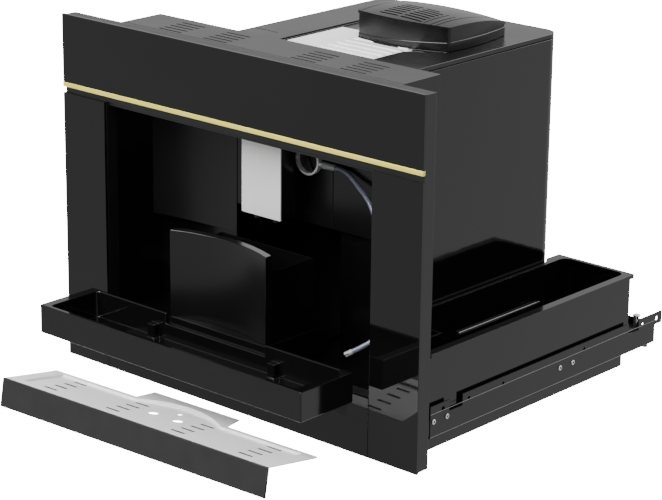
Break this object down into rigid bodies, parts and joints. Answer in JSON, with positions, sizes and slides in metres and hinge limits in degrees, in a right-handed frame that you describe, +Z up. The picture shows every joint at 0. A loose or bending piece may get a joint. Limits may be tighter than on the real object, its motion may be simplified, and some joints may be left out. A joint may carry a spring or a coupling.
{
  "type": "built-in coffee machine",
  "caption": "Built-in bean-to-cup coffee machine with black glass front and brass strip, on pull-out rails, drip tray drawn out, drip grid taken off, open side water tank.",
  "frame": {"origin": "middle of the front panel's lower edge, in the plane where the panel meets the cabinet", "axes": "+X to the right along the front, +Y into the cabinet, +Z up"},
  "size_m": [0.595, 0.7117, 0.4727],
  "materials": {
    "front_glass": "polished, opaque black",
    "black_frame": "fine satin",
    "brass": "brushed",
    "black_sheet": "semi-matt black paint",
    "zinc_steel": "zinc plated",
    "bright_steel": "polished",
    "rubber": "matt",
    "bay_plastic": "gloss",
    "gloss_black": "gloss",
    "matt_black": "matt",
    "spout_steel": "brushed",
    "pale_plastic": "satin",
    "hose_grey": "smooth",
    "burr_steel": "machined",
    "brew_plastic": "matt",
    "heater_metal": "cast",
    "board_green": "lacquered"
  },
  "bodies": {
    "cabinet_rails": {"rail_outer_right": "black_sheet", "rail_outer_left": "black_sheet", "rail_screws": "bright_steel", "rail_feet": "rubber"},
    "middle_rails": {"rail_middle": "zinc_steel"},
    "spout": {"spout_block": "gloss_black", "spout_plate": "spout_steel", "coffee_nozzles": "matt_black"},
    "frother_dial": {"frother_dial": "matt_black"},
    "drip_tray": {"drip_tray": "gloss_black"},
    "grounds_container": {"grounds_front": "gloss_black", "grounds_bin": "matt_black"},
    "drip_grid": {"drip_grid": "spout_steel", "grid_fascia": "gloss_black"},
    "water_tank": {"water_tank": "gloss_black", "tank_pipe": "pale_plastic", "tank_valve": "pale_plastic"},
    "hopper_lid": {"hopper_lid": "gloss_black"},
    "grind_knob": {"grind_knob": "matt_black"},
    "burr": {"grinding_burr": "burr_steel"},
    "brew_piston": {"brew_piston": "matt_black"},
    "carriage": {"base_pan": "black_sheet", "bean_hopper": "gloss_black", "body_shell": "gloss_black", "boiler": "heater_metal", "bottom_glass": "front_glass", "brass_strip": "brass", "brew_cylinder": "brew_plastic", "carriage_side_left": "black_sheet", "carriage_side_right": "black_sheet", "cavity_liner": "bay_plastic", "column_glass_left": "front_glass", "column_glass_right": "front_glass", "control_board": "board_green", "cup_plate": "spout_steel", "frother_body": "matt_black", "frother_ring": "bright_steel", "grinder_housing": "matt_black", "grinder_motor": "burr_steel", "grounds_compartment": "bay_plastic", "hose_fitting": "pale_plastic", "hose_tip": "pale_plastic", "inner_deck": "black_sheet", "lintel": "black_frame", "mains_inlet": "matt_black", "milk_hose": "hose_grey", "panel_frame": "black_frame", "pump": "burr_steel", "rail_inner": "zinc_steel", "rear_cover": "black_sheet", "rear_panel_centre": "gloss_black", "rear_panel_left": "gloss_black", "rear_panel_right": "gloss_black", "side_lid": "gloss_black", "stop_pin": "bright_steel", "tank_shelf": "black_sheet", "top_cover": "gloss_black", "top_glass": "front_glass", "vent_cover": "black_sheet", "vent_housing": "black_sheet"}
  },
  "joints": [
    {"name": "machine_slide", "type": "slide", "parent": "cabinet_rails", "child": "carriage", "axis": [0, -1, 0], "range_m": [0, 0.35]},
    {"name": "middle_rail_slide", "type": "slide", "parent": "cabinet_rails", "child": "middle_rails", "axis": [0, -1, 0], "range_m": [0, 0.175]},
    {"name": "tray_slide", "type": "slide", "parent": "carriage", "child": "drip_tray", "axis": [0, 1, 0], "range_m": [0, 0.118]},
    {"name": "container_draw", "type": "slide", "parent": "drip_tray", "child": "grounds_container", "axis": [0, -1, 0], "range_m": [0, 0.08]},
    {"name": "grid_lift", "type": "slide", "parent": "carriage", "child": "drip_grid", "axis": [0, -0.8, 0.6], "range_m": [0, 0.15]},
    {"name": "tank_lift", "type": "slide", "parent": "carriage", "child": "water_tank", "axis": [0, 0, 1], "range_m": [0, 0.14]},
    {"name": "lid_lift", "type": "slide", "parent": "carriage", "child": "hopper_lid", "axis": [0, 0, 1], "range_m": [0, 0.06]},
    {"name": "spout_height", "type": "slide", "parent": "carriage", "child": "spout", "axis": [0, 0, 1], "range_m": [0, 0.04]},
    {"name": "dial_turn", "type": "hinge", "parent": "carriage", "child": "frother_dial", "pos_m": [0.0435, 0.07, 0.3125], "axis": [0, 1, 0], "range_deg": [-90, 0]},
    {"name": "grind_setting", "type": "hinge", "parent": "carriage", "child": "grind_knob", "pos_m": [0.0964, 0.277, 0.431], "axis": [0, 0, 1], "range_deg": [-60, 60]},
    {"name": "burr_spin", "type": "hinge", "parent": "carriage", "child": "burr", "pos_m": [0.052, 0.286, 0.31], "axis": [0, 0, 1], "continuous": true},
    {"name": "piston_slide", "type": "slide", "parent": "carriage", "child": "brew_piston", "axis": [0, 0, 1], "range_m": [-0.026, 0.05]}
  ],
  "couplings": [
    {"joint": "middle_rail_slide", "follows": "machine_slide", "ratio": 0.5}
  ]
}
